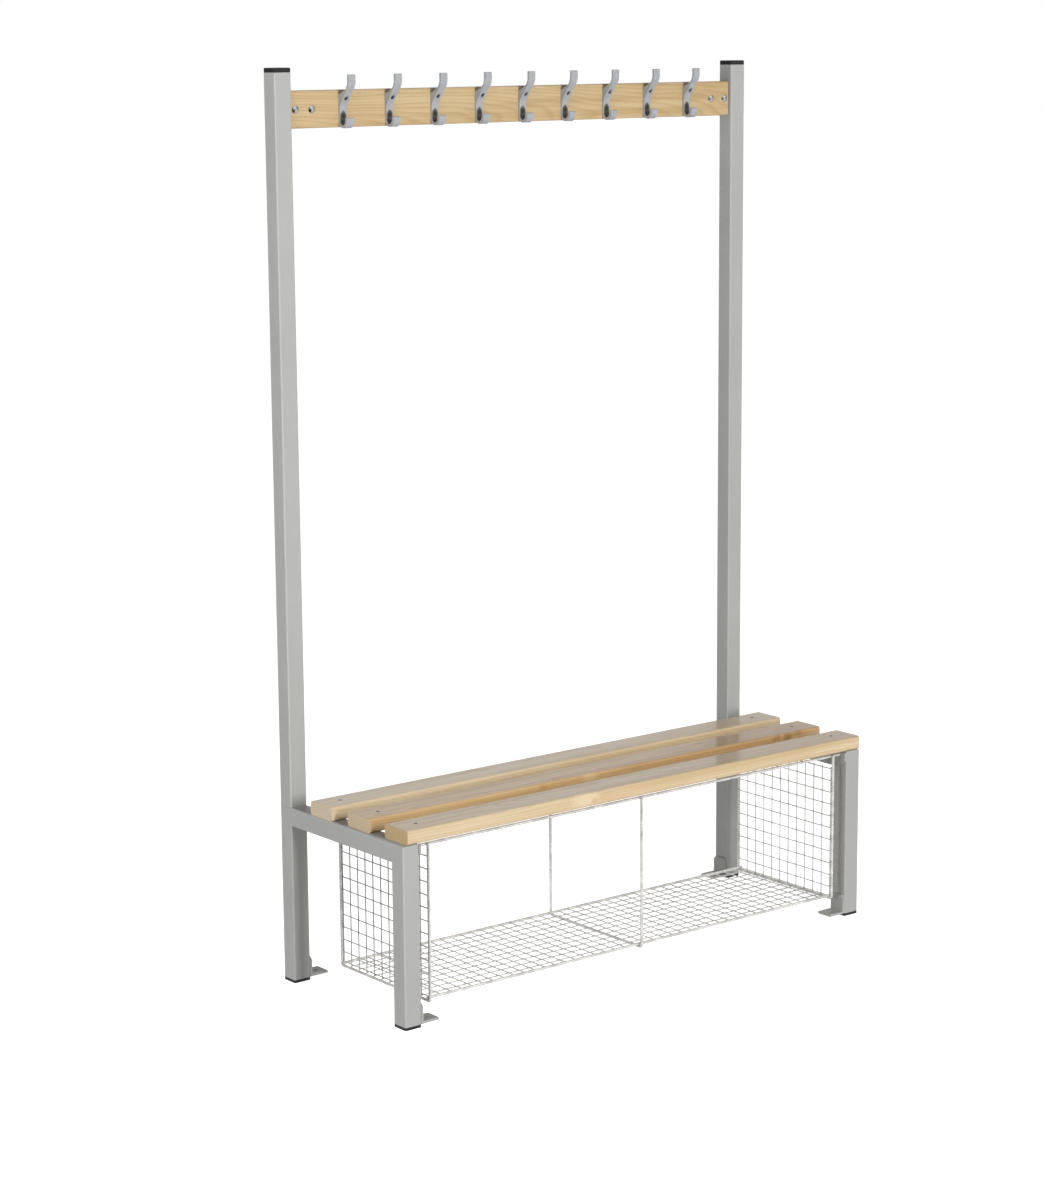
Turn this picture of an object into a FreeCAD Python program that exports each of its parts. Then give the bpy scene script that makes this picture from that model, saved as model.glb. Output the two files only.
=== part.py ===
"""Cloakroom bench: steel end frames, wooden seat slats, a hook board and a wire shoe basket.

Millimetres. X runs along the bench, -Y is the front, +Z is up. The origin is on the floor,
under the middle of the bench.
"""
import FreeCAD, Part
import math
import os

V = FreeCAD.Vector

# Overall sizes
length = 1200.0            # over the two end frames
depth = 412.0              # front of the front legs to back of the uprights
height = 1800.0            # floor to the top of the upright caps
arm_top = 362.0            # floor to the top of the seat arms

# Square steel tube
tube = 38.0
tube_wall = 2.0
tube_corner = 3.0          # outer corner radius

# Plastic caps and feet
cap_thick = 9.0
cap_edge = 2.7             # rounding of the cap's upper edges
cap_low_edge = 1.5         # rounding of its lower edges
foot_thick = 6.0
plug_depth = 16.0          # how far a cap or foot reaches into its tube
plug_clear = 0.15          # gap between plug and tube wall

# Floor brackets, one inside each leg
bracket_thick = 5.0
bracket_width = 36.0
bracket_rise = 40.0        # height of the upright leaf
bracket_reach = 42.0       # length of the floor leaf
bracket_taper = 6.0        # clipped corners of the upright leaf
floor_hole_d = 9.0
floor_hole_reach = 22.0    # from the leg's face to the floor hole

# Seat slats
slat_width = 73.0
slat_thick = 28.5
slat_gap = 43.5
slat_setback = 1.0         # behind the front of the legs
slat_inset = 6.0           # short of the outer face at each end, for a centred slat
slat_shifts = (6.0, 2.0, -4.5)  # how far right of centre each slat lies, from the front
slat_round = 5.0           # rounding of the long edges

# Slat lugs, screws and nuts
lug_thick = 3.0
lug_width = 16.0
lug_reach = 28.0
slat_screw_reach = 15.0    # from the arm's inner face to the screw
slat_screw_back = 2.0      # behind the middle of the slat
slat_screw_d = 6.0
slat_head_d = 12.0
slat_head_h = 3.3
screw_hole_clear = 0.3     # radial gap around a screw's shank
nut_across = 10.0          # across the flats
nut_thick = 5.0
thread_tail = 1.0          # screw end past its nut

# Hook board and its fixings
board_height = 72.0
board_thick = 18.0
board_drop = 34.0          # upright's top to the board's top
board_setback = 7.5        # behind the front of the uprights
board_end_gap = 1.5
board_round = 5.0
bolt_edge = 13.0           # from the upright's inner face to the first bolt
bolt_pitch = 38.0
bolt_d = 6.0
bolt_head_d = 16.0
bolt_head_h = 4.0
bolt_neck_depth = 4.0
washer_d = 12.0
washer_thick = 1.2
board_tab_thick = 4.0
board_tab_height = 40.0
board_tab_margin = 12.0    # past the inner bolt

# Coat hooks, drawn as a side profile: reach out of the board, level from the board's middle
hook_count = 9
hook_margin = 120.5        # from the board's end to the first hook
hook_offset = -1.3         # the row sits a little left of the board's middle
hook_width = 16.5
hook_reach = 35.4          # front of the upper prong
hook_rise = 64.6           # top of the upper prong
hook_tip_thick = 4.6
hook_bend_level = 44.5     # where the sloping front meets the upper prong
hook_slope_deg = 52.0
hook_front_bend = 22.0     # radius of that bend
hook_root_bend = 25.0      # radius where the slope meets the back plate
hook_saddle_level = 26.2   # top of the back plate
hook_saddle_deg = 20.0
hook_saddle_bend = 21.0    # radius behind the upper prong
hook_plate_thick = 4.5
hook_low_reach = 29.4      # front of the lower prong
hook_low_thick = 6.6
hook_low_tip = -17.0       # top of the lower prong
hook_low_depth = 5.6       # tip to the middle of the lower bend
hook_tip_round = 1.5
hook_screw_d = 4.0
hook_head_d = 7.2
hook_sunk_d = 9.2          # head of the lower screw, countersunk
hook_head_h = 2.4
hook_upper_hole = 19.4     # level of the upper screw
hook_lower_hole = -14.0    # level of the lower screw
hook_seat = 5.0            # thickness left under the upper screw's head
hook_access_d = 8.0
hook_screw_bite = 13.0     # depth of the screws in the board

# Shoe basket
mesh_pitch = 25.8
wire_d = 2.5
rod_d = 6.0
basket_end_gap = 22.0      # least gap between a leg and the basket's end
basket_setback = 11.0      # front of the legs to the front upright rods
basket_screw_gap = 16.0    # least gap from the last slat screw back to the rear top rod
basket_floor = 42.5        # middle of the frames' lowest run
basket_first_row = 27.0    # from there to the lowest end wire
basket_lug_gap = 2.4       # between the top rods and the level of the slat lugs
basket_row_gap = 1.0       # between the end mesh and the top rods
wire_over = 3.0            # mesh wires past the last crossing
rod_end_gap = 0.5

# Basket tabs on the inner faces of the arms
tab_thick = 5.0
tab_width = 34.0
tab_height = 23.0
tab_taper = 6.0
tab_notch_clear = 0.2

# Derived places
y_front = -depth / 2
y_back = depth / 2
x_inner = length / 2 - tube
x_tube = length / 2 - tube / 2
y_leg = y_front + tube / 2
y_post = y_back - tube / 2
post_top = height - cap_thick
slat_pitch = slat_width + slat_gap
seat_room = depth - tube - slat_setback
slat_count = math.floor((seat_room + slat_gap) / slat_pitch)
slat_ys = [y_front + slat_setback + slat_width / 2 + i * slat_pitch for i in range(slat_count)]
slat_places = [(slat_shifts[i % len(slat_shifts)], y) for i, y in enumerate(slat_ys)]
x_slat_screw = x_inner - slat_screw_reach
board_y = y_back - tube + board_setback
board_z = post_top - board_drop - board_height / 2
board_half = x_inner - board_end_gap
hook_pitch = (2 * board_half - 2 * hook_margin) / (hook_count - 1)
hook_xs = [-board_half + hook_margin + hook_offset + i * hook_pitch for i in range(hook_count)]
bolt_xs = [x_inner - bolt_edge, x_inner - bolt_edge - bolt_pitch]

long_gaps = math.floor(2 * (x_inner - basket_end_gap - rod_d) / mesh_pitch)
mesh_half_long = long_gaps * mesh_pitch / 2
wire_to_rod = (wire_d + rod_d) / 2
x_frame = mesh_half_long + wire_to_rod
y_rod_front = y_front + basket_setback
y_rear_rod_least = slat_ys[-1] + slat_screw_back + basket_screw_gap
mesh_deep_least = y_rear_rod_least + rod_d - y_rod_front - 2 * wire_to_rod
deep_gaps = math.ceil(mesh_deep_least / mesh_pitch)
y_rod_back = y_rod_front + deep_gaps * mesh_pitch + 2 * wire_to_rod
y_mesh = [y_rod_front + wire_to_rod + i * mesh_pitch for i in range(deep_gaps + 1)]
z_tab_top = arm_top - lug_thick
z_top_rod = z_tab_top - basket_lug_gap - rod_d / 2
z_long_rod = basket_floor + rod_d
z_long_wire = basket_floor + wire_to_rod
z_cross_wire = z_long_wire + wire_d
x_row = x_frame - wire_to_rod
x_upright_wire = x_row + wire_d
z_first_row = basket_floor + basket_first_row
z_mesh_limit = z_top_rod - rod_d / 2 - basket_row_gap - wire_over
row_count = math.floor((z_mesh_limit - z_first_row) / mesh_pitch) + 1
row_zs = [z_first_row + i * mesh_pitch for i in range(row_count)]


# Plain shapes
def box(x0, x1, y0, y1, z0, z1):
    return Part.makeBox(x1 - x0, y1 - y0, z1 - z0, V(x0, y0, z0))


def rod(start, end, diameter):
    axis = end.sub(start)
    return Part.makeCylinder(diameter / 2, axis.Length, start, axis)


def prism(face, direction):
    solid = face.extrude(direction)
    if solid.Volume < 0:
        solid.reverse()
    return solid


def mirrored(shape):
    return shape.mirror(V(0, 0, 0), V(1, 0, 0))


def rounded_outline(corners, place):
    """Closed wire through (a, b, radius) corners, with an arc of that radius at each corner."""
    count = len(corners)
    cuts = []
    for i in range(count):
        a, b, radius = corners[i]
        here = V(a, b, 0)
        back = V(*corners[i - 1][:2], 0).sub(here).normalize()
        ahead = V(*corners[(i + 1) % count][:2], 0).sub(here).normalize()
        half = back.getAngle(ahead) / 2
        reach = radius / math.tan(half)
        middle = here + (back + ahead).normalize() * (radius / math.sin(half) - radius)
        cuts.append((here + back * reach, middle, here + ahead * reach, radius))
    edges = []
    for i in range(count):
        first, middle, last, radius = cuts[i]
        following = cuts[(i + 1) % count][0]
        if radius > 0:
            edges.append(Part.Arc(place(first), place(middle), place(last)).toShape())
        if last.distanceToPoint(following) > 1e-6:
            edges.append(Part.LineSegment(place(last), place(following)).toShape())
    return Part.Wire(edges)


def flat(p):
    return V(p.x, p.y, 0)


def square_bar(side, corner, tall):
    """Upright bar of rounded square section, standing on the origin."""
    h = side / 2
    corners = [(-h, -h, corner), (h, -h, corner), (h, h, corner), (-h, h, corner)]
    return prism(Part.Face(rounded_outline(corners, flat)), V(0, 0, tall))


def square_tube(tall):
    bore = square_bar(tube - 2 * tube_wall, max(tube_corner - tube_wall, tube_wall / 4), tall)
    return square_bar(tube, tube_corner, tall).cut(bore)


def fillet_along(shape, axis, radius):
    """Rounds every straight edge that runs along the given axis."""
    edges = []
    for edge in shape.Edges:
        run = edge.Vertexes[-1].Point.sub(edge.Vertexes[0].Point)
        if run.Length > 0 and abs(abs(run.normalize().dot(axis)) - 1) < 1e-6:
            edges.append(edge)
    return shape.makeFillet(radius, edges)


# End frames: the arm is mitred into both legs, and the upright stands on the arm's back end
def mitre_side(y_outer, inward, arm_side):
    """Block on one side of a corner's 45 degree joint, to be cut away."""
    along = V(0, inward, -1).normalize()
    away = V(0, inward, 1).normalize() * (1 if arm_side else -1)
    corner = V(-length / 2 - tube, y_outer, arm_top)
    start = corner - along * tube
    end = corner + along * (3 * tube)
    points = [start, end, end + away * (3 * tube), start + away * (3 * tube), start]
    return prism(Part.Face(Part.makePolygon(points)), V(3 * tube, 0, 0))


def leg(y_middle, y_outer, inward):
    tall = square_tube(arm_top - foot_thick)
    tall.translate(V(-x_tube, y_middle, foot_thick))
    return tall.cut(mitre_side(y_outer, inward, True))


def seat_arm():
    arm = square_tube(depth)
    arm.rotate(V(0, 0, 0), V(1, 0, 0), -90)
    arm.translate(V(-x_tube, y_front, arm_top - tube / 2))
    arm = arm.cut(mitre_side(y_front, 1, False))
    return arm.cut(mitre_side(y_back, -1, False))


def upright():
    post = square_tube(post_top - arm_top)
    post.translate(V(-x_tube, y_post, arm_top))
    return post


def plug():
    side = tube - 2 * (tube_wall + plug_clear)
    return square_bar(side, max(tube_corner - tube_wall, tube_wall / 4), plug_depth)


def upright_cap():
    top = square_bar(tube, tube_corner, cap_thick)
    largest = min(0.45 * cap_thick, 0.9 * tube_corner)
    rim = [e for e in top.Edges if min(v.Z for v in e.Vertexes) > cap_thick - 1e-6]
    top = top.makeFillet(min(cap_edge, largest), rim)
    low_rim = [e for e in top.Edges if max(v.Z for v in e.Vertexes) < 1e-6]
    top = top.makeFillet(min(cap_low_edge, largest), low_rim)
    pin = plug()
    pin.translate(V(0, 0, -plug_depth))
    cap = top.fuse(pin)
    cap.translate(V(-x_tube, y_post, post_top))
    return cap


def foot(y_middle):
    sole = square_bar(tube, tube_corner, foot_thick)
    pin = plug()
    pin.translate(V(0, 0, foot_thick))
    pad = sole.fuse(pin)
    pad.translate(V(-x_tube, y_middle, 0))
    return pad


def floor_bracket(y_middle):
    """Bent plate: one leaf on the leg's inner face, one leaf along the floor with a bolt hole."""
    x_face = -x_inner
    y0 = y_middle - bracket_width / 2
    y1 = y_middle + bracket_width / 2
    z0 = foot_thick
    z1 = foot_thick + bracket_rise
    clip = bracket_taper
    points = [V(x_face, y0, z0), V(x_face, y1, z0), V(x_face, y1, z1 - clip), V(x_face, y1 - clip, z1),
              V(x_face, y0 + clip, z1), V(x_face, y0, z1 - clip), V(x_face, y0, z0)]
    leaf = prism(Part.Face(Part.makePolygon(points)), V(bracket_thick, 0, 0))
    floor_leaf = box(x_face, x_face + bracket_reach, y0, y1, z0, z0 + bracket_thick)
    hole = rod(V(x_face + floor_hole_reach, y_middle, z0 - 1),
               V(x_face + floor_hole_reach, y_middle, z0 + bracket_thick + 1), floor_hole_d)
    return leaf.fuse(floor_leaf).removeSplitter().cut(hole)


# Seat: slats screwed down to lugs on the inner faces of the arms
def slat_screw_places():
    return [(side * x_slat_screw + shift, y + slat_screw_back)
            for side in (-1, 1) for shift, y in slat_places]


def slat(shift, y_middle):
    half = length / 2 - slat_inset
    plank = box(shift - half, shift + half, y_middle - slat_width / 2, y_middle + slat_width / 2,
                arm_top, arm_top + slat_thick)
    plank = fillet_along(plank, V(1, 0, 0), slat_round)
    top = arm_top + slat_thick
    for x in (shift - x_slat_screw, shift + x_slat_screw):
        y = y_middle + slat_screw_back
        hole_r = slat_screw_d / 2 + screw_hole_clear
        plank = plank.cut(rod(V(x, y, arm_top - 1), V(x, y, top + 1), 2 * hole_r))
        sink_h = slat_head_h * (slat_head_d / 2 - hole_r) / (slat_head_d / 2 - slat_screw_d / 2)
        sink = Part.makeCone(hole_r, slat_head_d / 2, sink_h, V(x, y, top - sink_h))
        plank = plank.cut(sink)
    return plank


def cross_slot(x, y, z, size, deep):
    """Cross recess cut down from level z."""
    thin = size / 4
    bar = box(x - size / 2, x + size / 2, y - thin / 2, y + thin / 2, z - deep, z + 1)
    return bar.fuse(box(x - thin / 2, x + thin / 2, y - size / 2, y + size / 2, z - deep, z + 1))


def slat_screw(x, y):
    top = arm_top + slat_thick
    end = arm_top - lug_thick - nut_thick - thread_tail
    head = Part.makeCone(slat_screw_d / 2, slat_head_d / 2, slat_head_h, V(x, y, top - slat_head_h))
    screw = head.fuse(rod(V(x, y, end), V(x, y, top - slat_head_h), slat_screw_d))
    return screw.cut(cross_slot(x, y, top, slat_head_d / 2, slat_head_h / 2))


def hex_nut(centre, axis, bore):
    """Nut whose face lies at centre and whose body runs along the axis."""
    radius = nut_across / math.sqrt(3)
    turn = FreeCAD.Rotation(V(0, 0, 1), axis)
    points = [V(radius * math.cos(math.radians(60 * i)), radius * math.sin(math.radians(60 * i)), 0)
              for i in range(7)]
    body = prism(Part.Face(Part.makePolygon(points)), V(0, 0, nut_thick))
    body = body.cut(Part.makeCylinder(bore / 2, nut_thick))
    body.Placement = FreeCAD.Placement(centre, turn)
    return body


def slat_lug(shift, y_middle):
    """Left-hand lug whose hole takes the screw of a slat moved by the shift."""
    x = shift - x_slat_screw
    y = y_middle + slat_screw_back
    plate = box(-x_inner, -x_inner + lug_reach, y - lug_width / 2, y + lug_width / 2,
                arm_top - lug_thick, arm_top)
    hole_d = slat_screw_d + 2 * screw_hole_clear
    return plate.cut(rod(V(x, y, arm_top - lug_thick - 1), V(x, y, arm_top + 1), hole_d))


# Hook board, bolted to a steel tab behind each end
def board_bolt_xs():
    return [side * x for side in (-1, 1) for x in bolt_xs]


def hook_screw_places():
    return [(x, board_z + level) for x in hook_xs for level in (hook_upper_hole, hook_lower_hole)]


def hook_board():
    board = box(-board_half, board_half, board_y, board_y + board_thick,
                board_z - board_height / 2, board_z + board_height / 2)
    board = fillet_along(board, V(1, 0, 0), board_round)
    for x in board_bolt_xs():
        hole_d = bolt_d + 2 * screw_hole_clear
        y_past = board_y + board_thick + 1
        board = board.cut(rod(V(x, board_y - 1, board_z), V(x, y_past, board_z), hole_d))
        board = board.cut(box(x - bolt_d / 2, x + bolt_d / 2, board_y - 1, board_y + bolt_neck_depth,
                              board_z - bolt_d / 2, board_z + bolt_d / 2))
    for x, z in hook_screw_places():
        board = board.cut(rod(V(x, board_y - 1, z), V(x, board_y + hook_screw_bite, z), hook_screw_d))
    return board


def board_tab():
    reach = bolt_edge + bolt_pitch + board_tab_margin
    y0 = board_y + board_thick
    plate = box(-x_inner, -x_inner + reach, y0, y0 + board_tab_thick,
                board_z - board_tab_height / 2, board_z + board_tab_height / 2)
    for x in bolt_xs:
        hole_d = bolt_d + 2 * screw_hole_clear
        plate = plate.cut(rod(V(-x, y0 - 1, board_z), V(-x, y0 + board_tab_thick + 1, board_z), hole_d))
    return plate


def board_bolt(x):
    """Dome head bolt with a square neck in the wood."""
    r = bolt_head_d / 2
    dome_r = (r * r + bolt_head_h * bolt_head_h) / (2 * bolt_head_h)
    dome = Part.makeSphere(dome_r, V(x, board_y - bolt_head_h + dome_r, board_z))
    dome = dome.common(box(x - r - 1, x + r + 1, board_y - bolt_head_h - 1, board_y,
                           board_z - r - 1, board_z + r + 1))
    neck = box(x - bolt_d / 2, x + bolt_d / 2, board_y, board_y + bolt_neck_depth,
               board_z - bolt_d / 2, board_z + bolt_d / 2)
    end = board_y + board_thick + board_tab_thick + washer_thick + nut_thick + thread_tail
    shank = rod(V(x, board_y + bolt_neck_depth, board_z), V(x, end, board_z), bolt_d)
    return dome.fuse([neck, shank])


def board_washer(x):
    y0 = board_y + board_thick + board_tab_thick
    disc = rod(V(x, y0, board_z), V(x, y0 + washer_thick, board_z), washer_d)
    hole_d = bolt_d + 2 * screw_hole_clear
    return disc.cut(rod(V(x, y0 - 1, board_z), V(x, y0 + washer_thick + 1, board_z), hole_d))


def board_nut(x):
    y0 = board_y + board_thick + board_tab_thick + washer_thick
    return hex_nut(V(x, y0, board_z), V(0, 1, 0), bolt_d)


# Coat hooks: one extruded profile, cut to width
def hook_outline():
    slope = math.tan(math.radians(hook_slope_deg))
    saddle = math.tan(math.radians(hook_saddle_deg))
    prong_back = hook_reach - hook_tip_thick
    low_inner = hook_low_reach - hook_low_thick
    hollow_r = (low_inner - hook_plate_thick) / 2
    outer_r = hook_low_reach / 2
    bend_level = hook_low_tip - hook_low_depth
    return [(0, hook_saddle_level, hook_tip_round / 2),
            (prong_back, hook_saddle_level + saddle * prong_back, hook_saddle_bend),
            (prong_back, hook_rise, hook_tip_round),
            (hook_reach, hook_rise, hook_tip_round),
            (hook_reach, hook_bend_level, hook_front_bend),
            (hook_plate_thick, hook_bend_level - slope * (hook_reach - hook_plate_thick), hook_root_bend),
            (hook_plate_thick, bend_level - hollow_r, hollow_r),
            (low_inner, bend_level - hollow_r, hollow_r),
            (low_inner, hook_low_tip, hook_low_thick / 2),
            (hook_low_reach, hook_low_tip, hook_low_thick / 2),
            (hook_low_reach, bend_level - outer_r, outer_r),
            (0, bend_level - outer_r, outer_r)]


def countersink_depth():
    return hook_sunk_d / 2 - hook_screw_d / 2


def coat_hook(x):
    x0 = x - hook_width / 2
    outline = rounded_outline(hook_outline(), lambda p: V(x0, board_y - p.x, board_z + p.y))
    hook = prism(Part.Face(outline), V(hook_width, 0, 0))
    upper = board_z + hook_upper_hole
    lower = board_z + hook_lower_hole
    hole_r = hook_screw_d / 2 + screw_hole_clear
    y_ahead = board_y - hook_reach
    hook = hook.cut(rod(V(x, y_ahead, upper), V(x, board_y - hook_seat, upper), hook_access_d))
    for z, thick in ((upper, hook_seat), (lower, hook_plate_thick)):
        hook = hook.cut(rod(V(x, board_y - thick - 1, z), V(x, board_y + 1, z), 2 * hole_r))
    sink = countersink_depth()
    face = board_y - hook_plate_thick
    cone = Part.makeCone(hook_sunk_d / 2 + screw_hole_clear, hole_r, sink, V(x, face, lower), V(0, 1, 0))
    return hook.cut(cone)


def hook_screws():
    """Pan head screw in each hook's upper hole and countersunk screw in its lower hole."""
    screws = []
    for x in hook_xs:
        upper = board_z + hook_upper_hole
        lower = board_z + hook_lower_hole
        seat = board_y - hook_seat
        end = board_y + hook_screw_bite
        pan = rod(V(x, seat - hook_head_h, upper), V(x, seat, upper), hook_head_d)
        screws.append(pan.fuse(rod(V(x, seat, upper), V(x, end, upper), hook_screw_d)))
        face = board_y - hook_plate_thick
        sink = countersink_depth()
        cone = Part.makeCone(hook_sunk_d / 2, hook_screw_d / 2, sink, V(x, face, lower), V(0, 1, 0))
        screws.append(cone.fuse(rod(V(x, face + sink, lower), V(x, end, lower), hook_screw_d)))
    return screws


# Shoe basket: bent rods carry long rods and welded mesh
def basket_frame(x):
    """Rod bent to a U: down at the front, under the floor mesh, and up at the back."""
    top = z_top_rod + rod_d / 2
    bend = rod_d
    low = basket_floor
    c = bend * (1 - math.sqrt(0.5))
    edges = [Part.LineSegment(V(x, y_rod_front, top), V(x, y_rod_front, low + bend)).toShape(),
             Part.Arc(V(x, y_rod_front, low + bend), V(x, y_rod_front + c, low + c),
                      V(x, y_rod_front + bend, low)).toShape(),
             Part.LineSegment(V(x, y_rod_front + bend, low), V(x, y_rod_back - bend, low)).toShape(),
             Part.Arc(V(x, y_rod_back - bend, low), V(x, y_rod_back - c, low + c),
                      V(x, y_rod_back, low + bend)).toShape(),
             Part.LineSegment(V(x, y_rod_back, low + bend), V(x, y_rod_back, top)).toShape()]
    section = Part.Wire(Part.makeCircle(rod_d / 2, V(x, y_rod_front, top), V(0, 0, -1)))
    return Part.Wire(edges).makePipeShell([section], True, False)


def top_rod(y):
    half = x_inner - rod_end_gap
    return rod(V(-half, y, z_top_rod), V(half, y, z_top_rod), rod_d)


def long_rod(y):
    half = x_frame + rod_d / 2
    return rod(V(-half, y, z_long_rod), V(half, y, z_long_rod), rod_d)


def floor_mesh():
    """Long wires on the frames' lowest runs, and cross wires on top of them between the long rods."""
    y0 = y_rod_front + 1.5 * rod_d
    y1 = y_rod_back - 1.5 * rod_d
    wires = [rod(V(-x_frame, y, z_long_wire), V(x_frame, y, z_long_wire), wire_d) for y in y_mesh[1:-1]]
    for i in range(long_gaps + 1):
        x = -mesh_half_long + i * mesh_pitch
        wires.append(rod(V(x, y0, z_cross_wire), V(x, y1, z_cross_wire), wire_d))
    return wires


def end_mesh():
    """Level wires welded inside an end frame, and upright wires between them and the frame's plane."""
    wires = [rod(V(-x_row, y_rod_front, z), V(-x_row, y_rod_back, z), wire_d) for z in row_zs]
    z_outer = z_long_rod + rod_d / 2
    z_inner = z_long_wire + wire_d / 2
    z1 = row_zs[-1] + wire_over
    for y in y_mesh:
        z0 = z_outer if y in (y_mesh[0], y_mesh[-1]) else z_inner
        wires.append(rod(V(-x_upright_wire, y, z0), V(-x_upright_wire, y, z1), wire_d))
    return wires


def basket_tab(y_rod):
    """Plate on the arm's inner face with an open notch that carries an upper rod."""
    x_face = -x_inner
    y0 = y_rod - tab_width / 2
    y1 = y_rod + tab_width / 2
    z1 = z_tab_top
    z0 = z1 - tab_height
    clip = tab_taper
    points = [V(x_face, y0, z1), V(x_face, y0, z0 + clip), V(x_face, y0 + clip, z0),
              V(x_face, y1 - clip, z0), V(x_face, y1, z0 + clip), V(x_face, y1, z1), V(x_face, y0, z1)]
    plate = prism(Part.Face(Part.makePolygon(points)), V(tab_thick, 0, 0))
    notch_r = rod_d / 2 + tab_notch_clear
    z_notch = z_top_rod + tab_notch_clear
    x_past = x_face + tab_thick + 1
    plate = plate.cut(rod(V(x_face - 1, y_rod, z_notch), V(x_past, y_rod, z_notch), 2 * notch_r))
    return plate.cut(box(x_face - 1, x_past, y_rod - notch_r, y_rod + notch_r, z_notch, z1 + 1))


# Every piece by name; the right-hand end mirrors the left-hand end
def pair(pieces, name, shape):
    pieces["left_" + name] = [shape]
    pieces["right_" + name] = [mirrored(shape)]


def build():
    pieces = {}
    pair(pieces, "upright", upright())
    pair(pieces, "seat_arm", seat_arm())
    pair(pieces, "rear_leg", leg(y_post, y_back, -1))
    pair(pieces, "front_leg", leg(y_leg, y_front, 1))
    pair(pieces, "upright_cap", upright_cap())
    pair(pieces, "front_foot", foot(y_leg))
    pair(pieces, "rear_foot", foot(y_post))
    pair(pieces, "front_floor_bracket", floor_bracket(y_leg))
    pair(pieces, "rear_floor_bracket", floor_bracket(y_post))
    pieces["left_slat_lugs"] = [slat_lug(shift, y) for shift, y in slat_places]
    pieces["right_slat_lugs"] = [mirrored(slat_lug(-shift, y)) for shift, y in slat_places]

    for i, (shift, y) in enumerate(slat_places):
        pieces["seat_slat_%d" % (i + 1)] = [slat(shift, y)]
    places = slat_screw_places()
    pieces["slat_screws"] = [slat_screw(x, y) for x, y in places]
    below = arm_top - lug_thick
    pieces["slat_nuts"] = [hex_nut(V(x, y, below), V(0, 0, -1), slat_screw_d) for x, y in places]

    pieces["hook_board"] = [hook_board()]
    pair(pieces, "board_tab", board_tab())
    pieces["board_bolts"] = [board_bolt(x) for x in board_bolt_xs()]
    pieces["board_washers"] = [board_washer(x) for x in board_bolt_xs()]
    pieces["board_nuts"] = [board_nut(x) for x in board_bolt_xs()]
    for i, x in enumerate(hook_xs):
        pieces["coat_hook_%d" % (i + 1)] = [coat_hook(x)]
    pieces["hook_screws"] = hook_screws()

    pair(pieces, "basket_frame", basket_frame(-x_frame))
    pieces["middle_basket_frame"] = [basket_frame(0)]
    pieces["front_top_rod"] = [top_rod(y_rod_front + rod_d)]
    pieces["rear_top_rod"] = [top_rod(y_rod_back - rod_d)]
    pieces["front_long_rod"] = [long_rod(y_rod_front + rod_d)]
    pieces["rear_long_rod"] = [long_rod(y_rod_back - rod_d)]
    pieces["basket_floor_mesh"] = floor_mesh()
    wires = end_mesh()
    pieces["left_end_mesh"] = wires
    pieces["right_end_mesh"] = [mirrored(wire) for wire in wires]
    pair(pieces, "front_basket_tab", basket_tab(y_rod_front + rod_d))
    pair(pieces, "rear_basket_tab", basket_tab(y_rod_back - rod_d))
    return pieces


def write(pieces):
    os.makedirs("parts", exist_ok=True)
    for name, shapes in pieces.items():
        shape = shapes[0] if len(shapes) == 1 else Part.makeCompound(shapes)
        shape.exportStep(os.path.join("parts", name + ".step"))


write(build())
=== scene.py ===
"""Dresses the cloakroom bench: camera, light, floor, materials and slat screws."""
import math

import bmesh
import bpy
from mathutils import Matrix, Vector


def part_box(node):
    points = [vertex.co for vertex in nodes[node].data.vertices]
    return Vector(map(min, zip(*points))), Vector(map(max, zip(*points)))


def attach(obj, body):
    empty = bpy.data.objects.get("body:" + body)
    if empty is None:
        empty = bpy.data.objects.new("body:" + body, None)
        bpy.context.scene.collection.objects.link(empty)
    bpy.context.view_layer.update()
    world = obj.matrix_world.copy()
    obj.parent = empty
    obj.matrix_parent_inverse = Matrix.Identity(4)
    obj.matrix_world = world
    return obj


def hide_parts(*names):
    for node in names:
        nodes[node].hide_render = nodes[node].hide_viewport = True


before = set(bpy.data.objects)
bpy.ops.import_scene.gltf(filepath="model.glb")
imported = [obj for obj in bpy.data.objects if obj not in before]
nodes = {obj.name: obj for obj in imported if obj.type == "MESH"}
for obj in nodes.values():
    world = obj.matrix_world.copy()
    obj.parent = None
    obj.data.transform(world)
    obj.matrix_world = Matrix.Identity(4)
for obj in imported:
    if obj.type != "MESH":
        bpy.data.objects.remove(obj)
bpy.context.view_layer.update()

# Camera, solved from the photograph's straight edges
image_width = 1045
focal_px = 2951.9
camera_place = Vector((-3.73911, -4.54602, 1.86558))
camera_yaw = math.radians(38.318)
camera_pitch = math.radians(-10.920)
camera_roll = math.radians(0.430)
sensor_width = 36.0              # millimetres
view_far = 200.0

# Light: a tall soft box far ahead of the bench, another on its left and a pale backdrop behind it
key_power = 812.0
key_size = (1.2, 5.2)
key_place = Vector((-0.6, -9.0, 3.0))
side_power = 205.0
side_size = (2.8, 3.6)
side_place = Vector((-5.0, -0.5, 1.05))
lamp_aim = Vector((0.0, 0.0, 0.8))
backdrop = 0.88
surround = 0.10
backdrop_edge = (0.35, 0.85)     # cosine of the angle from straight ahead, where it fades in
backdrop_top = (0.30, 0.70)      # sine of the elevation, where it fades out

# Pale patches of the studio that only reflections show: direction and brightness
front_patch = ((0.2, -0.98, 0.0), 0.7)
rear_patch = ((-0.8, 0.6, 0.0), 0.25)
ceiling_patch = ((0.0, 0.0, 1.0), 0.7)
patch_edge = (0.35, 0.85)        # cosine of the angle from a patch's middle, where it fades in

# Floor
floor_radius = 60.0
floor_sides = 96
floor_glow = 0.9                 # what lifts the floor to white for the camera
floor_mirror = 0.8               # how bright the floor's sheet is in reflections
sheet_edge = (-0.95, -0.5)       # where the white floor sheet starts on the left, for reflections
paper_dull = (0.84, 0.84, 0.84)
paper_pale = (0.86, 0.86, 0.86)

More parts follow.
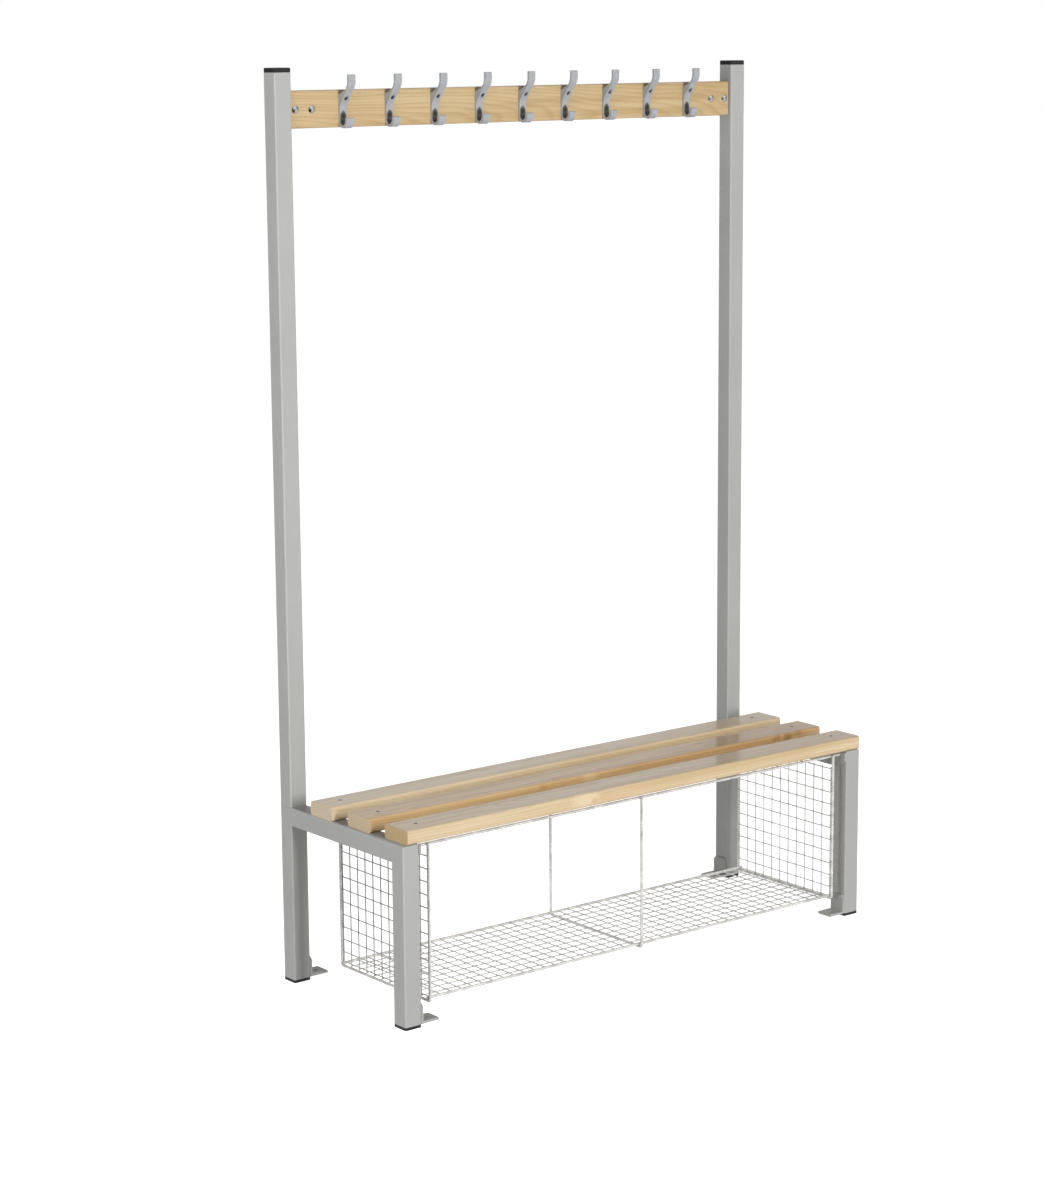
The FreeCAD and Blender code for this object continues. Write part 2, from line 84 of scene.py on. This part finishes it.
# Colours, linear
white = (1.0, 1.0, 1.0)
no_light = (0.0, 0.0, 0.0)
paint_grey = (0.368, 0.371, 0.361)
wire_grey = (0.86, 0.85, 0.82)
mesh_metallic = 0.92
rod_metallic = 0.55              # paler zinc than the mesh
aluminium_grey = (0.39, 0.402, 0.418)
steel_grey = (0.62, 0.62, 0.61)
black = (0.012, 0.012, 0.013)
# painted shade in the hollow of the hooks' lower prong
hollow_shade_grey = (0.10, 0.096, 0.080)
# dirt and painted shade in the slat screws' cross recess
recess_dirt_and_shade = (0.035, 0.034, 0.03)
zinc_dull = (0.42, 0.41, 0.39)
zinc_bright = (0.68, 0.67, 0.64)
zinc_black = (0.035, 0.034, 0.03)
zinc_worn = (0.075, 0.072, 0.062)

# Least and most roughness
paint_rough = (0.38, 0.46)
plastic_rough = (0.34, 0.46)
wire_rough = (0.18, 0.3)
hook_rough = (0.45, 0.6)
fixing_rough = (0.25, 0.42)
bolt_rough = (0.16, 0.26)
screw_rough = (0.3, 0.45)
dark_screw_rough = (0.38, 0.55)
wood_rough = (0.42, 0.55)

# Pitting of the small fixings
pit_scale = 1500.0
pit_depth = 0.00005
pit_strength = 0.25

# Grain of the hooks: noise scales along the bench, across it and upward
drawn_scale = (12.0, 900.0, 900.0)
saw_scale = (1.0, 260.0, 1800.0)
hook_side = (0.7, 0.9)           # how squarely a face looks sideways, where it fades to the sawn side

# Coat hooks: where painted shade darkens the hollow of the lower prong, from the board's front and middle
hollow_reach = 0.01365
hollow_level = -0.0226
hollow_radius = 0.0092
hollow_rim = (0.0004, 0.0016)    # past the radius, where it fades out
hollow_top = -0.003
hollow_fade = 0.003              # below its top
hollow_half = 0.0066             # half its width, across the hook
hollow_side = (0.85, 1.15)       # share of that half width, where it fades out
hollow_crown = 0.007             # how far its top drops at the half width

# Slat screws: places on the slat, head, shank and cross recess
screw_reach = 0.547              # from the slat's middle, both ways
screw_back = 0.002               # behind the slat's middle
screw_head = 0.0058              # radius
screw_head_depth = 0.0033
screw_chamfer = 0.0003
screw_shank = 0.003              # radius
cross_reach = 0.0046
cross_half = 0.0017
cross_depth = 0.0018
cross_taper = 0.5                # size of the recess's floor, as a share of its mouth
recess_start = (0.0004, 0.0001)  # below the head's top, where the dirt and painted shade are full and where they start
round_steps = 40

# Most of a noise lies in this span
noise_span = (0.3, 0.7)

# Wood grain: noise scales along and across the plank, and each layer's share in the dark tone
sway_scale = (2.6, 9.0, 9.0)
sway_reach = 0.032
ring_profile = [(0.0, 0.0), (0.5, 0.25), (0.84, 1.0), (0.97, 0.1)]  # place in a ring, darkness
ring_share = 0.22
fibre_scale = (7.0, 520.0, 520.0)
fibre_share = 0.3
streak_scale = (1.3, 85.0, 85.0)
streak_share = 0.75
blotch_scale = (3.0, 16.0, 16.0)
blotch_middle = 0.6
blotch_share = 0.5
tone_span = (0.22, 0.86)         # from light to late wood
gloss_span = (0.2, 0.9)          # tones with the least and the most roughness
pore_scale = (26.0, 1700.0, 1700.0)
pore_edge = (0.66, 0.74)
pore_depth = 0.3
dot_scale = (40.0, 900.0, 900.0)
dot_edge = (0.5, 0.75)
dot_depth = 0.45
plank_end = (0.75, 0.9)          # how squarely a face looks sideways, where it fades to the sawn end
lacquer = 0.7
lacquer_rough = 0.14

# Marks in the wood: wobble of the edge, and where the bend of the rings and the colour fade, in radii
mark_scale = 130.0
mark_wobble = 0.8
mark_bend = (0.3, 2.4)
mark_tint = (0.35, 1.2)

# Planks: heart line's place and lean, ring spacing, colours of light wood, late wood and sawn ends, marks
# A mark is a knot or patch: place from the plank's middle, radius, stretch, colour, strength, pull on rings
planks = {
    "hook_board": dict(
        name="board_wood", heart=(0.040, -0.030), lean=(0.055, 0.010), spacing=0.0052,
        light=(0.545, 0.413, 0.235), late=(0.41, 0.275, 0.124), sawn=(0.50, 0.38, 0.22)),
    "seat_slat_1": dict(
        name="slat_wood_1", heart=(0.012, -0.075), lean=(0.010, 0.012), spacing=0.0048,
        light=(0.645, 0.52, 0.345), late=(0.52, 0.375, 0.20), sawn=(0.53, 0.395, 0.205),
        marks=[((-0.158, -0.036, 0.003), 0.018, 2.2, (0.76, 0.64, 0.45), 0.5, 0.5),
               ((-0.137, -0.036, -0.005), 0.007, 1.5, (0.56, 0.35, 0.15), 0.6, 1.0)]),
    "seat_slat_2": dict(
        name="slat_wood_2", heart=(-0.015, 0.055), lean=(0.020, -0.020), spacing=0.0044,
        light=(0.64, 0.445, 0.225), late=(0.46, 0.275, 0.11), sawn=(0.60, 0.48, 0.315),
        marks=[((0.289, 0.015, 0.013), 0.008, 1.6, (0.22, 0.12, 0.05), 0.6, 2.0),
               ((0.468, -0.036, 0.008), 0.009, 1.8, (0.30, 0.16, 0.06), 0.75, 2.5),
               ((0.500, -0.036, 0.006), 0.010, 1.6, (0.24, 0.12, 0.045), 0.8, 2.5),
               ((0.530, -0.036, 0.010), 0.008, 2.0, (0.33, 0.18, 0.07), 0.7, 2.0),
               ((-0.170, -0.036, 0.006), 0.009, 1.5, (0.47, 0.27, 0.10), 0.6, 1.5),
               ((-0.048, -0.036, 0.008), 0.012, 1.8, (0.68, 0.51, 0.29), 0.45, 0.5),
               ((0.360, -0.010, 0.000), 0.050, 5.0, (0.40, 0.235, 0.095), 0.5, 0.6)]),
    "seat_slat_3": dict(
        name="slat_wood_3", heart=(0.020, 0.080), lean=(-0.012, 0.010), spacing=0.0050,
        light=(0.70, 0.575, 0.385), late=(0.57, 0.43, 0.25), sawn=(0.64, 0.535, 0.39)),
}


# Small helpers
def middle(node):
    low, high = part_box(node)
    return (low + high) / 2


def times(colour, factor):
    return tuple(factor * c for c in colour)


def add_object(name, data):
    thing = bpy.data.objects.new(name, data)
    bpy.context.scene.collection.objects.link(thing)
    return thing


def matching(*words):
    return [n for n in nodes if any(w in n for w in words)]


def dress(names, material):
    for name in names:
        mesh = nodes[name].data
        mesh.materials.clear()
        mesh.materials.append(material)


# Camera
def make_camera():
    forward = Vector((math.sin(camera_yaw) * math.cos(camera_pitch),
                      math.cos(camera_yaw) * math.cos(camera_pitch), math.sin(camera_pitch)))
    flat_right = Vector((math.cos(camera_yaw), -math.sin(camera_yaw), 0))
    flat_down = forward.cross(flat_right)
    right = flat_right * math.cos(camera_roll) + flat_down * math.sin(camera_roll)
    down = flat_down * math.cos(camera_roll) - flat_right * math.sin(camera_roll)
    data = bpy.data.cameras.new("camera")
    data.sensor_fit = "HORIZONTAL"
    data.sensor_width = sensor_width
    data.lens = sensor_width * focal_px / image_width
    data.clip_end = view_far
    camera = add_object("camera", data)
    turn = Matrix((right, -down, -forward)).transposed()
    camera.matrix_world = Matrix.Translation(camera_place) @ turn.to_4x4()
    bpy.context.scene.camera = camera


# Node helpers
class Nodes:
    """Adds and links shader nodes in one node tree."""

    def __init__(self, tree):
        self.tree = tree

    def add(self, kind):
        return self.tree.nodes.new("ShaderNode" + kind)

    def put(self, socket, value):
        if isinstance(value, bpy.types.NodeSocket):
            self.tree.links.new(value, socket)
        else:
            socket.default_value = value

    def math(self, operation, a, b=0.0):
        node = self.add("Math")
        node.operation = operation
        self.put(node.inputs[0], a)
        self.put(node.inputs[1], b)
        return node.outputs[0]

    def hypot(self, a, b):
        square = self.math("ADD", self.math("POWER", a, 2.0), self.math("POWER", b, 2.0))
        return self.math("SQRT", square)

    def vector(self, operation, a, b=(0.0, 0.0, 0.0)):
        node = self.add("VectorMath")
        node.operation = operation
        self.put(node.inputs[0], a)
        self.put(node.inputs[1], b)
        gives_number = operation in ("LENGTH", "DOT_PRODUCT")
        return node.outputs["Value" if gives_number else "Vector"]

    def parts(self, vector):
        node = self.add("SeparateXYZ")
        self.put(node.inputs[0], vector)
        return node.outputs

    def noise(self, vector, scale, detail=2.0, rough=0.5, colour=False):
        node = self.add("TexNoise")
        self.put(node.inputs["Vector"], vector)
        node.inputs["Scale"].default_value = scale
        node.inputs["Detail"].default_value = detail
        node.inputs["Roughness"].default_value = rough
        return node.outputs["Color" if colour else "Fac"]

    def grain(self, vector, scales, detail=2.0, rough=0.5, colour=False):
        """Noise with its own scale along each axis."""
        return self.noise(self.vector("MULTIPLY", vector, scales), 1.0, detail, rough, colour)

    def range(self, value, low, high, to_low=0.0, to_high=1.0):
        node = self.add("MapRange")
        node.interpolation_type = "SMOOTHSTEP"
        for name, v in (("Value", value), ("From Min", low), ("From Max", high),
                        ("To Min", to_low), ("To Max", to_high)):
            self.put(node.inputs[name], v)
        return node.outputs[0]

    def spread(self, noise, to_low=0.0, to_high=1.0):
        """A noise taken from its usual span to another one."""
        return self.range(noise, *noise_span, to_low, to_high)

    def ramp(self, value, stops):
        node = self.add("ValToRGB")
        self.put(node.inputs[0], value)
        points = node.color_ramp.elements
        while len(points) < len(stops):
            points.new(0.5)
        for point, (at, shade) in zip(points, stops):
            point.position = at
            point.color = (shade, shade, shade, 1.0)
        return node.outputs[0]

    def mix(self, factor, a, b):
        node = self.add("Mix")
        node.data_type = "RGBA"
        for i, v in ((0, factor), (6, a), (7, b)):
            if isinstance(v, tuple):
                v = v + (1.0,)
            self.put(node.inputs[i], v)
        return node.outputs[2]


class Look(Nodes):
    """One procedural material on the principled shader."""

    def __init__(self, name):
        self.material = bpy.data.materials.new(name)
        self.material.use_nodes = True
        super().__init__(self.material.node_tree)
        self.shader = self.tree.nodes["Principled BSDF"]

    def set(self, **values):
        for name, value in values.items():
            socket = self.shader.inputs[name.replace("_", " ")]
            if isinstance(value, tuple):
                value = value + (1.0,)
            self.put(socket, value)

    def place(self):
        return self.add("TexCoord").outputs["Object"]

    def sideways(self):
        """One where the surface faces left or right, zero where it faces any way square to that."""
        normal = self.add("NewGeometry").outputs["Normal"]
        return self.math("ABSOLUTE", self.parts(normal)[0])

    def bump(self, height, distance, strength):
        node = self.add("Bump")
        node.inputs["Distance"].default_value = distance
        node.inputs["Strength"].default_value = strength
        self.put(node.inputs["Height"], height)
        self.put(self.shader.inputs["Normal"], node.outputs[0])


# Paint and plastic
def silver_paint():
    look = Look("silver_paint")
    p = look.place()
    cloud = look.noise(p, scale=5.0, detail=3.0)
    flake = look.noise(p, scale=2600.0, detail=1.0)
    peel = look.noise(p, scale=260.0)
    tone = look.math("ADD", look.math("MULTIPLY", cloud, 0.5), look.math("MULTIPLY", flake, 0.5))
    look.set(Base_Color=look.mix(look.spread(tone), times(paint_grey, 0.95), times(paint_grey, 1.05)))
    look.set(Roughness=look.spread(cloud, *paint_rough), Specular_IOR_Level=0.28)
    look.bump(peel, distance=0.00008, strength=0.35)
    return look.material


def black_plastic():
    look = Look("black_plastic")
    p = look.place()
    cloud = look.noise(p, scale=60.0)
    grain = look.noise(p, scale=1500.0)
    look.set(Base_Color=look.mix(cloud, black, times(black, 1.8)))
    look.set(Roughness=look.spread(grain, *plastic_rough), Specular_IOR_Level=0.32)
    look.bump(grain, distance=0.0001, strength=0.4)
    return look.material


# Metals
def pitting(look, p):
    look.bump(look.noise(p, pit_scale), pit_depth, pit_strength)


def drawn_wire(name, metallic):
    look = Look(name)
    p = look.place()
    cloud = look.range(look.noise(p, scale=45.0, detail=4.0, rough=0.6), 0.35, 0.65)
    rub = look.noise(p, scale=400.0)
    scratch = look.noise(p, scale=900.0)
    look.set(Base_Color=look.mix(cloud, times(wire_grey, 0.72), wire_grey), Metallic=metallic)
    look.set(Roughness=look.spread(rub, *wire_rough))
    look.bump(scratch, distance=0.00006, strength=0.3)
    return look.material


def hook_hollow_shade(look, p):
    """One where painted shade darkens the hollow of each hook's lower prong, zero outside it."""
    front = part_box("hook_board")[0].y
    rel = look.vector("SUBTRACT", p, (0.0, front, middle("hook_board").z))
    level = look.parts(rel)[2]
    x, out, up = look.parts(look.vector("ADD", rel, (0.0, hollow_reach, -hollow_level)))
    away = look.hypot(out, look.math("MINIMUM", up, 0.0))
    inside = look.range(away, *(hollow_radius + past for past in hollow_rim), 1.0, 0.0)
    first = middle("coat_hook_1").x
    pitch = middle("coat_hook_2").x - first
    step = look.math("DIVIDE", look.math("SUBTRACT", x, first), pitch)
    step = look.math("SUBTRACT", look.math("FRACT", look.math("ADD", step, 0.5)), 0.5)
    aside = look.math("ABSOLUTE", look.math("MULTIPLY", step, pitch / hollow_half))
    inside = look.math("MULTIPLY", inside, look.range(aside, *hollow_side, 1.0, 0.0))
    crown = look.math("MULTIPLY", look.math("POWER", aside, 2.0), hollow_crown)
    crown = look.range(look.math("ADD", level, crown), hollow_top - hollow_fade, hollow_top, 1.0, 0.0)
    return look.math("MULTIPLY", inside, crown)


def hook_aluminium():
    """Extruded aluminium with drawn lines, sawn sides and painted shade in the lower prong's hollow."""
    look = Look("hook_aluminium")
    p = look.place()
    lines = look.grain(p, drawn_scale, detail=3.0)
    sawn = look.grain(p, saw_scale)
    cut = look.range(look.sideways(), *hook_side)
    grain = look.math("ADD", look.math("MULTIPLY", lines, look.math("SUBTRACT", 1.0, cut)),
                      look.math("MULTIPLY", sawn, cut))
    metal = look.mix(look.spread(grain), times(aluminium_grey, 0.88), aluminium_grey)
    # Painted shade: the lower prong's hollow is darkened in the base colour
    look.set(Base_Color=look.mix(hook_hollow_shade(look, p), metal, hollow_shade_grey), Metallic=0.15)
    look.set(Roughness=look.spread(grain, *hook_rough), Specular_IOR_Level=0.35)
    look.bump(grain, distance=0.0001, strength=0.35)
    return look.material


def fixing_steel(name, rough):
    look = Look(name)
    p = look.place()
    cloud = look.noise(p, scale=220.0, detail=3.0)
    look.set(Base_Color=look.mix(cloud, times(steel_grey, 0.8), steel_grey), Metallic=1.0)
    look.set(Roughness=look.spread(cloud, *rough))
    pitting(look, p)
    return look.material


def screw_steel():
    """Dull zinc with a cross recess darkened by dirt and painted shade."""
    look = Look("screw_steel")
    p = look.place()
    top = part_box("slat_screws")[1].z
    cloud = look.noise(p, scale=300.0, detail=3.0)
    zinc = look.mix(cloud, zinc_dull, zinc_bright)
    sunk = look.range(look.parts(p)[2], *(top - below for below in recess_start), 1.0, 0.0)
    # Dirt and painted shade: the cross recess is darkened in the base colour
    look.set(Base_Color=look.mix(sunk, zinc, recess_dirt_and_shade), Metallic=0.8)
    look.set(Roughness=look.spread(cloud, *screw_rough))
    pitting(look, p)
    return look.material


def dark_zinc():
    look = Look("dark_zinc")
    p = look.place()
    cloud = look.noise(p, scale=300.0, detail=3.0)
    look.set(Base_Color=look.mix(cloud, zinc_black, zinc_worn), Metallic=0.6)
    look.set(Roughness=look.spread(cloud, *dark_screw_rough))
    pitting(look, p)
    return look.material


# Wood
def ring_phase(look, rel, heart, lean, spacing):
    """Distance from a slanting heart line, with a sway, counted in growth rings."""
    sway = look.grain(rel, sway_scale, colour=True)
    sway = look.vector("SUBTRACT", sway, (0.5, 0.5, 0.5))
    bent = look.vector("ADD", rel, look.vector("MULTIPLY", sway, (0.0, sway_reach, sway_reach)))
    x, y, z = look.parts(bent)
    across = look.math("SUBTRACT", look.math("SUBTRACT", y, heart[0]), look.math("MULTIPLY", x, lean[0]))
    up = look.math("SUBTRACT", look.math("SUBTRACT", z, heart[1]), look.math("MULTIPLY", x, lean[1]))
    return look.math("DIVIDE", look.hypot(across, up), spacing)


def mark_distance(look, rel, place, size, stretch):
    """Distance from a mark's middle, about one at its wobbly edge."""
    offset = look.vector("SUBTRACT", rel, place)
    offset = look.vector("MULTIPLY", offset, (1 / (size * stretch), 1 / size, 1 / size))
    away = look.vector("LENGTH", offset)
    wobble = look.math("MULTIPLY", look.noise(rel, mark_scale), mark_wobble)
    return look.math("ADD", away, look.math("SUBTRACT", wobble, mark_wobble / 2))


def sawn_end(look, rel, band, sawn):
    """Bare end of a plank, with rings and dots darker than the sawn wood."""
    dots = look.range(look.grain(rel, dot_scale), *dot_edge, 0.0, dot_depth)
    cut = look.mix(look.math("MULTIPLY", band, 0.8), sawn, times(sawn, 0.66))
    return look.mix(dots, cut, times(sawn, 0.55))


def wood(node, name, heart, lean, spacing, light, late, sawn, marks=()):
    """Lacquered plank: growth rings, streaks, fibres, pores, marks and sawn ends."""
    look = Look(name)
    rel = look.vector("SUBTRACT", look.place(), tuple(middle(node)))
    phase = ring_phase(look, rel, heart, lean, spacing)
    tints = []
    for place, size, stretch, colour, strength, pull in marks:
        away = mark_distance(look, rel, place, size, stretch)
        bend = look.math("MULTIPLY", look.range(away, *mark_bend, 1.0, 0.0), pull)
        phase = look.math("ADD", phase, bend)
        tints.append((look.range(away, *mark_tint, strength, 0.0), colour))
    band = look.ramp(look.math("FRACT", phase), ring_profile)
    fibre = look.grain(rel, fibre_scale, detail=3.0, rough=0.6)
    streak = look.grain(rel, streak_scale, detail=3.0, rough=0.6)
    blotch = look.math("SUBTRACT", look.grain(rel, blotch_scale), blotch_middle)
    tone = look.math("MULTIPLY", band, ring_share)
    for layer, share in ((fibre, fibre_share), (streak, streak_share), (blotch, blotch_share)):
        tone = look.math("ADD", tone, look.math("MULTIPLY", layer, share))
    pores = look.range(look.grain(rel, pore_scale, detail=1.0), *pore_edge, 0.0, pore_depth)
    colour = look.mix(look.range(tone, *tone_span), light, late)
    colour = look.mix(pores, colour, times(late, 0.5))
    for share, tint in tints:
        colour = look.mix(share, colour, tint)
    end = look.range(look.sideways(), *plank_end)
    look.set(Base_Color=look.mix(end, colour, sawn_end(look, rel, band, sawn)))
    look.set(Roughness=look.range(tone, *gloss_span, *wood_rough), Specular_IOR_Level=0.4)
    look.set(Coat_Weight=lacquer, Coat_Roughness=lacquer_rough)
    relief = look.math("ADD", fibre, look.math("MULTIPLY", band, 0.5))
    look.bump(relief, distance=0.00012, strength=0.3)
    return look.material


# Slat screws
def cross_outline(reach, half):
    quarter = [(reach, -half), (reach, half), (half, half)]
    turns = [(math.cos(a), math.sin(a)) for a in (math.pi / 2 * i for i in range(4))]
    return [(x * c - y * s, x * s + y * c) for c, s in turns for x, y in quarter]


def circle(radius):
    angles = [2 * math.pi * i / round_steps for i in range(round_steps)]
    return [(radius * math.cos(a), radius * math.sin(a)) for a in angles]


def add_screw(mesh, place, end):
    """Countersunk screw: flat head with a tapered cross recess, cone, and shank down to the end."""
    def ring(outline, z):
        return [mesh.verts.new((place.x + x, place.y + y, z)) for x, y in outline]

    def wall(upper, lower):
        for i in range(len(upper)):
            mesh.faces.new((upper[i - 1], upper[i], lower[i], lower[i - 1]))

    def edges(loop):
        return [mesh.edges.get((loop[i - 1], loop[i])) for i in range(len(loop))]

    rim = ring(circle(screw_head - screw_chamfer), place.z)
    edge = ring(circle(screw_head), place.z - screw_chamfer)
    neck = ring(circle(screw_shank), place.z - screw_head_depth)
    foot = ring(circle(screw_shank), end)
    mouth = ring(cross_outline(cross_reach, cross_half), place.z)
    pit = ring(cross_outline(cross_reach * cross_taper, cross_half * cross_taper), place.z - cross_depth)
    for upper, lower in ((rim, edge), (edge, neck), (neck, foot), (mouth, pit)):
        wall(upper, lower)
    mesh.faces.new(foot)
    mesh.faces.new(pit)
    bmesh.ops.triangle_fill(mesh, use_beauty=True, edges=edges(rim) + edges(mouth))


def make_slat_screws():
    low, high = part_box("slat_screws")
    mesh = bmesh.new()
    for slat in matching("seat_slat"):
        x, y, _ = middle(slat)
        for side in (-1, 1):
            add_screw(mesh, Vector((x + side * screw_reach, y + screw_back, high.z)), low.z)
    bmesh.ops.recalc_face_normals(mesh, faces=mesh.faces)
    data = bpy.data.meshes.new("cross_screws")
    mesh.to_mesh(data)
    mesh.free()
    data.materials.append(screw_steel())
    piece = add_object("cross_screws", data)
    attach(piece, "root")
    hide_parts("slat_screws")


# Floor and light
def make_floor():
    """White paper, lifted to plain white for the camera, that reflections see as a bright sheet."""
    mesh = bpy.data.meshes.new("floor")
    disc = bmesh.new()
    bmesh.ops.create_circle(disc, cap_ends=True, segments=floor_sides, radius=floor_radius)
    disc.to_mesh(mesh)
    disc.free()
    floor = add_object("floor", mesh)
    look = Look("floor_white")
    path = look.add("LightPath").outputs
    paper = look.mix(look.noise(look.place(), 0.6), paper_dull, paper_pale)
    look.set(Base_Color=look.mix(path["Is Glossy Ray"], paper, no_light))
    look.set(Roughness=0.9, Specular_IOR_Level=0.1, Emission_Color=white)
    sheet = look.range(look.parts(look.place())[0], *sheet_edge)
    mirrored = look.math("MULTIPLY", path["Is Glossy Ray"], look.math("MULTIPLY", sheet, floor_mirror))
    seen = look.math("MULTIPLY", path["Is Camera Ray"], floor_glow)
    look.set(Emission_Strength=look.math("MAXIMUM", seen, mirrored))
    mesh.materials.append(look.material)


def make_surroundings():
    """Pale backdrop ahead, dim elsewhere, pale patches in reflections; the camera sees plain white."""
    world = bpy.data.worlds.new("studio")
    bpy.context.scene.world = world
    world.use_nodes = True
    sky = Nodes(world.node_tree)
    toward = sky.add("TexCoord").outputs["Generated"]
    path = sky.add("LightPath").outputs
    ahead = sky.vector("DOT_PRODUCT", toward, (math.sin(camera_yaw), math.cos(camera_yaw), 0.0))
    wide = sky.range(ahead, *backdrop_edge, 0.0, backdrop - surround)
    tall = sky.range(sky.parts(toward)[2], *backdrop_top, 1.0, 0.0)
    glow = sky.math("ADD", sky.math("MULTIPLY", wide, tall), surround)
    for direction, strength in (front_patch, rear_patch, ceiling_patch):
        near = sky.vector("DOT_PRODUCT", toward, direction)
        patch = sky.range(near, *patch_edge, 0.0, strength)
        glow = sky.math("ADD", glow, sky.math("MULTIPLY", patch, path["Is Glossy Ray"]))
    lit = sky.tree.nodes["Background"]
    plain = sky.add("Background")
    for background in (lit, plain):
        background.inputs["Color"].default_value = white + (1.0,)
    sky.put(lit.inputs["Strength"], glow)
    choice = sky.add("MixShader")
    for socket, value in zip(choice.inputs, (path["Is Camera Ray"], lit.outputs[0], plain.outputs[0])):
        sky.put(socket, value)
    sky.put(sky.tree.nodes["World Output"].inputs["Surface"], choice.outputs[0])


def soft_box(name, power, size, place):
    """Area lamp that lights surfaces but doesn't show in their reflections."""
    data = bpy.data.lights.new(name, "AREA")
    data.shape = "RECTANGLE"
    data.size, data.size_y = size
    data.energy = power
    lamp = add_object(name, data)
    lamp.location = place
    lamp.rotation_euler = (place - lamp_aim).to_track_quat("Z", "Y").to_euler()
    lamp.visible_glossy = False


def make_light():
    soft_box("key_box", key_power, key_size, key_place)
    soft_box("side_box", side_power, side_size, side_place)
    make_surroundings()
    bpy.context.scene.view_settings.view_transform = "Standard"


# The whole scene
make_camera()
make_floor()
make_light()

dress(matching("upright", "seat_arm", "_leg", "floor_bracket", "slat_lugs", "board_tab", "basket_tab"),
      silver_paint())
dress(matching("upright_cap", "_foot"), black_plastic())
dress(matching("_mesh"), drawn_wire("drawn_wire", mesh_metallic))
dress(matching("basket_frame", "_rod"), drawn_wire("zinc_rod", rod_metallic))
dress(matching("coat_hook"), hook_aluminium())
dress(["slat_screws", "slat_nuts", "board_washers", "board_nuts"],
      fixing_steel("fixing_steel", fixing_rough))
dress(["board_bolts"], fixing_steel("bolt_chrome", bolt_rough))
dress(["hook_screws"], dark_zinc())
for node, plank in planks.items():
    dress([node], wood(node, **plank))
make_slat_screws()
